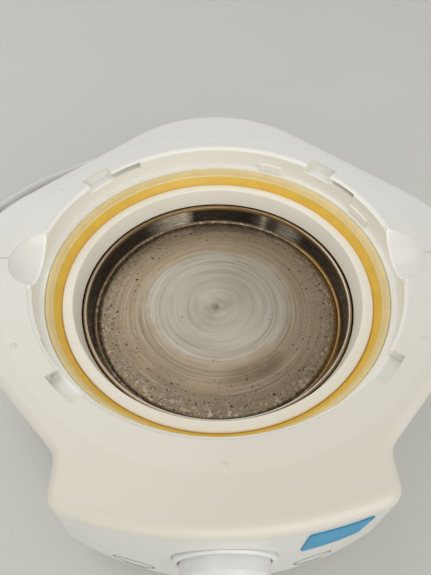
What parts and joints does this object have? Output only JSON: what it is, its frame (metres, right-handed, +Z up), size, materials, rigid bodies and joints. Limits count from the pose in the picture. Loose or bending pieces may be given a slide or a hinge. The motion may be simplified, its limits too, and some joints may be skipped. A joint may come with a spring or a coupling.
{
  "type": "electric steam steriliser base",
  "caption": "Open countertop steam steriliser base: round steel heating dish in a rounded-square plastic body with an amber lid seal, lid lock pockets, front dial and mains lead.",
  "frame": {"origin": "on the table under the middle of the body, between the back lobe and the dial", "axes": "+Z up, +Y to the back away from the dial, +X to the right of someone facing the dial"},
  "size_m": [0.3803, 0.39, 0.1055],
  "materials": {
    "body_white": "gloss moulded cream white",
    "tray_white": "satin moulded cream white",
    "collar_white": "satin moulded cream white",
    "seal_amber": "soft amber silicone",
    "dish_steel": "turned and stained from use",
    "silicone_grey": "soft",
    "aluminium": "plain",
    "element_steel": "dull heated sheath",
    "sheet_steel": "plain galvanised",
    "screw_steel": "zinc plated",
    "brass": "plain",
    "bakelite": "dark moulded",
    "ceramic_white": "plain",
    "board_green": "solder mask",
    "component_black": "moulded case",
    "dial_white": "gloss white",
    "badge_blue": "blank blue plate",
    "cord_white": "satin PVC jacket",
    "plug_white": "satin moulded",
    "pin_nickel": "nickel plated",
    "foot_grey": "soft",
    "wire_red": "silicone sleeve"
  },
  "bodies": {
    "base": {"upper_housing": "body_white", "base_tray": "tray_white", "base_screws": "screw_steel", "feet": "foot_grey", "heating_dish": "dish_steel", "dish_gasket": "silicone_grey", "dish_collar": "collar_white", "lid_seal": "seal_amber", "heat_spreader": "aluminium", "heating_element": "element_steel", "element_terminals": "brass", "thermostat": "bakelite", "thermostat_bracket": "sheet_steel", "bracket_screws": "screw_steel", "thermal_fuse": "ceramic_white", "temperature_sensor": "brass", "sensor_clips": "sheet_steel", "dish_clamps": "sheet_steel", "heat_shield": "sheet_steel", "clamp_screws": "screw_steel", "dial_bezel": "dial_white", "selector_switch": "component_black", "control_board": "board_green", "board_screws": "screw_steel", "relay": "component_black", "power_transformer": "component_black", "badge_plate": "badge_blue", "strain_relief": "cord_white", "inner_cord": "cord_white", "cord_clamp": "tray_white", "cord_clamp_screws": "screw_steel", "terminal_block": "ceramic_white", "terminal_screws": "brass", "element_leads": "wire_red", "mains_cord": "cord_white", "cord_coil": "cord_white", "plug_lead": "cord_white", "cord_tie": "component_black", "plug_body": "plug_white", "plug_pins": "pin_nickel"},
    "dial": {"dial": "dial_white", "selector_shaft": "screw_steel"},
    "start_button": {"start_button": "dial_white"}
  },
  "joints": [
    {"name": "dial_turn", "type": "hinge", "parent": "base", "child": "dial", "pos_m": [0, -0.13349, 0.064], "axis": [0, -0.9979, 0.0653], "range_deg": [-135, 135]},
    {"name": "button_press", "type": "slide", "parent": "dial", "child": "start_button", "axis": [0, 0.9979, -0.0653], "range_m": [0, 0.0015], "stiffness_N_per_m": 1500}
  ]
}
